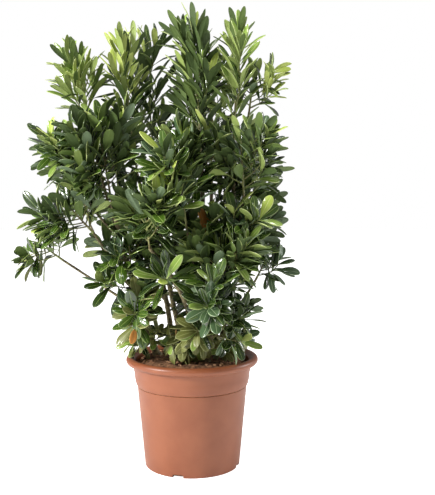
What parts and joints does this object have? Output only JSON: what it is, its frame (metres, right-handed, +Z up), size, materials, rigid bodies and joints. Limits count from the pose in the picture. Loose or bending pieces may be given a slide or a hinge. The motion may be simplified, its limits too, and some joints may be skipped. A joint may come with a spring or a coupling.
{
  "type": "potted japanese mock orange shrub",
  "caption": "Evergreen broadleaf shrub with several upright stems and whorls of leathery leaves, growing in a round tapered plastic nursery pot.",
  "frame": {"origin": "centre of the flat underside of the pot", "axes": "+Z up the pot's axis towards the top of the plant, -Y towards the viewer of the picture, +X to the viewer's right"},
  "size_m": [0.6804, 0.5623, 1.1424],
  "materials": {
    "pot": "satin moulded terracotta-coloured plastic",
    "potting_mix": "damp peat with bark chips",
    "bark": "matte grey-brown bark with leaf scars",
    "foliage": "leathery glossy green leaf",
    "young_foliage": "soft yellow-green young leaf",
    "old_foliage": "dull olive old leaf"
  },
  "bodies": {
    "root": {"bough_far_left": "bark", "bough_far_right": "bark", "bough_front_upper": "bark", "bough_left_middle": "bark", "bough_left_rear": "bark", "bough_low_left": "bark", "bough_rear_left": "bark", "bough_rear_low_left": "bark", "bough_rear_low_right": "bark", "bough_rear_middle": "bark", "bough_rear_right": "bark", "bough_right_front": "bark", "bough_right_low": "bark", "bough_right_upper": "bark", "bough_top_left": "bark", "foliage_basal_front": "old_foliage", "foliage_basal_left": "old_foliage", "foliage_basal_right": "old_foliage", "foliage_centre_middle": "foliage", "foliage_centre_upper": "foliage", "foliage_far_left": "foliage", "foliage_far_right": "foliage", "foliage_front_left": "foliage", "foliage_front_right": "foliage", "foliage_front_upper": "foliage", "foliage_left_inner": "foliage", "foliage_left_middle": "foliage", "foliage_left_rear": "foliage", "foliage_left_upper": "foliage", "foliage_low_front_left": "foliage", "foliage_low_front_right": "foliage", "foliage_low_left": "foliage", "foliage_low_rear": "foliage", "foliage_low_right": "foliage", "foliage_rear_left": "foliage", "foliage_rear_low_left": "foliage", "foliage_rear_low_right": "foliage", "foliage_rear_middle": "foliage", "foliage_rear_right": "foliage", "foliage_right_front": "foliage", "foliage_right_low": "foliage", "foliage_right_middle": "foliage", "foliage_right_side": "foliage", "foliage_right_upper": "young_foliage", "foliage_top_centre": "foliage", "foliage_top_left": "foliage", "foliage_top_middle_left": "young_foliage", "foliage_top_rear_left": "foliage", "foliage_top_rear_right": "foliage", "foliage_top_right": "foliage", "pot": "pot", "potting_mix": "potting_mix", "stem_centre": "bark", "stem_front_left": "bark", "stem_front_right": "bark", "stem_left": "bark", "stem_mid_left": "bark", "stem_rear_left": "bark", "stem_rear_right": "bark", "stem_right": "bark"}
  },
  "joints": []
}
